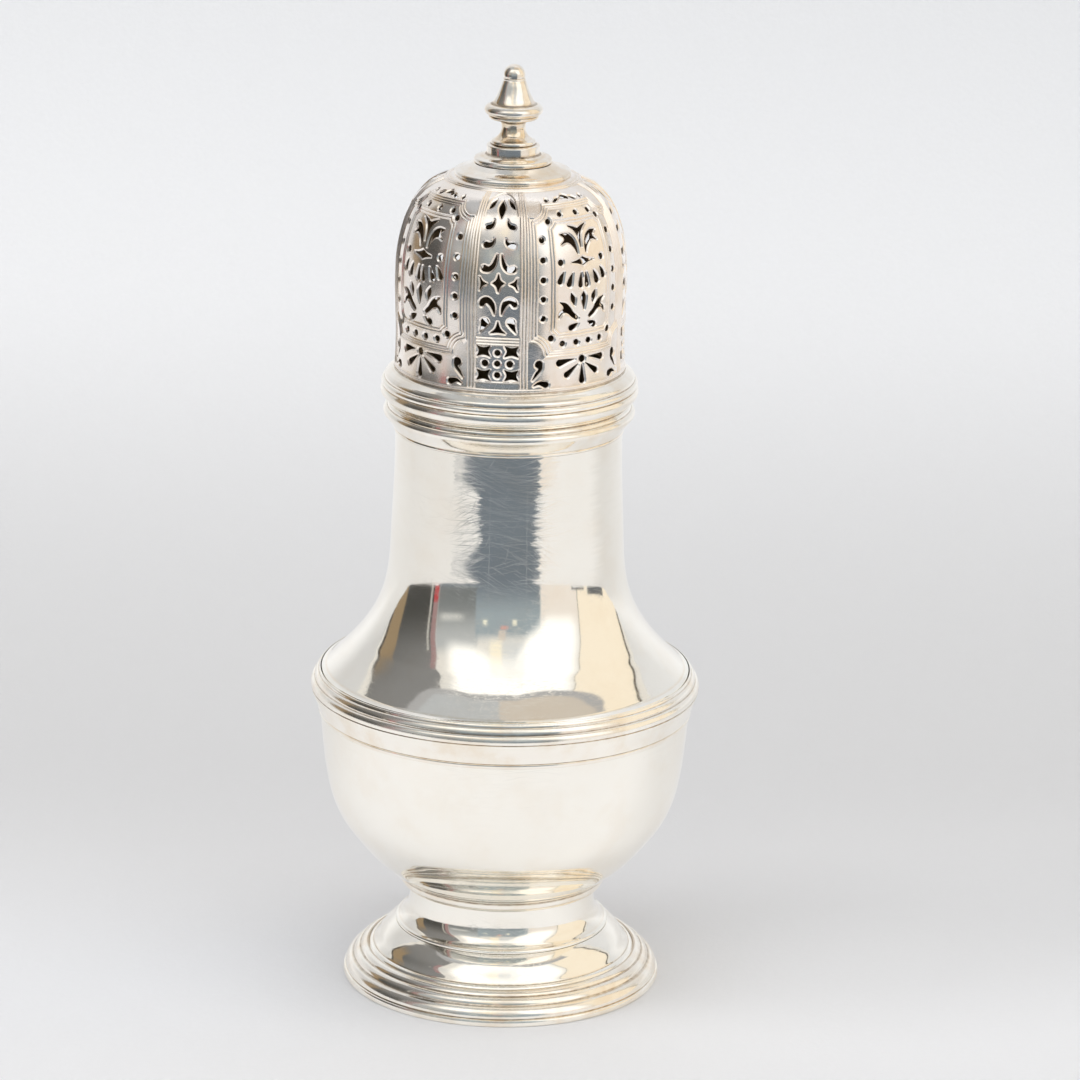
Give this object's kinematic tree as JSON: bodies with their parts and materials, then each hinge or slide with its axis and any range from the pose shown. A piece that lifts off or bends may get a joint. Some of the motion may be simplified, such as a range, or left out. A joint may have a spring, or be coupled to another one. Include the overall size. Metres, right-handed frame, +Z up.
{
  "type": "sugar caster",
  "caption": "Baluster sugar caster of silver on a spread moulded foot, with a lift-off cover whose raised dome is pierced with strapwork panels to shake sugar through.",
  "frame": {"origin": "middle of the foot's underside, on the axis the object is turned about", "axes": "+Z up along the axis through the foot, body, cover and finial; the side the picture shows faces -Y"},
  "size_m": [0.0728, 0.0728, 0.175],
  "materials": {
    "polished_silver": "polished",
    "moulded_silver": "polished, a little worn",
    "inner_silver": "satin"
  },
  "bodies": {
    "vessel": {"foot_rim": "moulded_silver", "foot_dome": "polished_silver", "foot_stem": "polished_silver", "collar": "moulded_silver", "bowl": "polished_silver", "girdle": "moulded_silver", "neck": "polished_silver", "neck_rim": "moulded_silver"},
    "cover": {"cover_sleeve": "inner_silver", "cover_rim": "moulded_silver", "pierced_dome": "polished_silver", "crown_plate": "polished_silver", "finial": "polished_silver"}
  },
  "joints": [
    {"name": "cover_lift", "type": "slide", "parent": "vessel", "child": "cover", "axis": [0, 0, 1], "range_m": [0, 0.045]}
  ]
}
